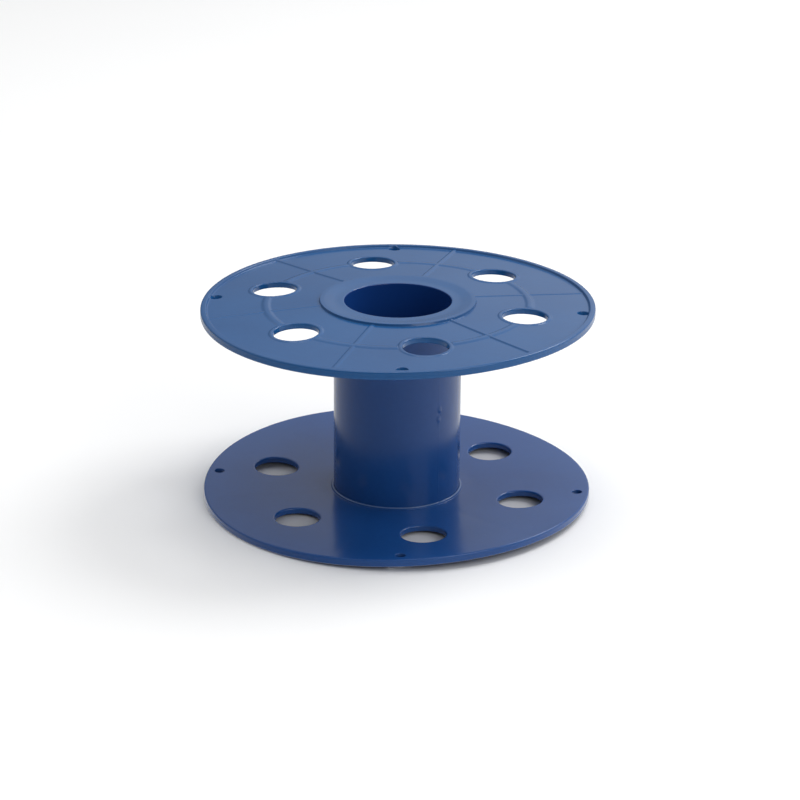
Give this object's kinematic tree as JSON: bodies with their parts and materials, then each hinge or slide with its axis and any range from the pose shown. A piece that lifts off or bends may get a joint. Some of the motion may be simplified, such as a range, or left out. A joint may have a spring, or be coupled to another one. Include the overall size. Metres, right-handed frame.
{
  "type": "fishing line spool",
  "caption": "Flanged line spool: a plain round barrel between two ribbed disc flanges, each with a wide centre bore, a ring of round drive holes and small holes for the line's end.",
  "frame": {"origin": "on the spool's axis, in the plane of the lower flange's hub face, which it stands on", "axes": "+Z along the spool's axis, up through the barrel; +X and +Y across the flanges, one rib of each flange lies 11.7 degrees from +X"},
  "size_m": [0.2, 0.2, 0.106],
  "materials": {
    "spool_plastic": "semi-gloss injection-moulded blue plastic with light handling marks"
  },
  "bodies": {
    "root": {"lower_flange": "spool_plastic", "barrel": "spool_plastic", "upper_flange": "spool_plastic"}
  },
  "joints": []
}
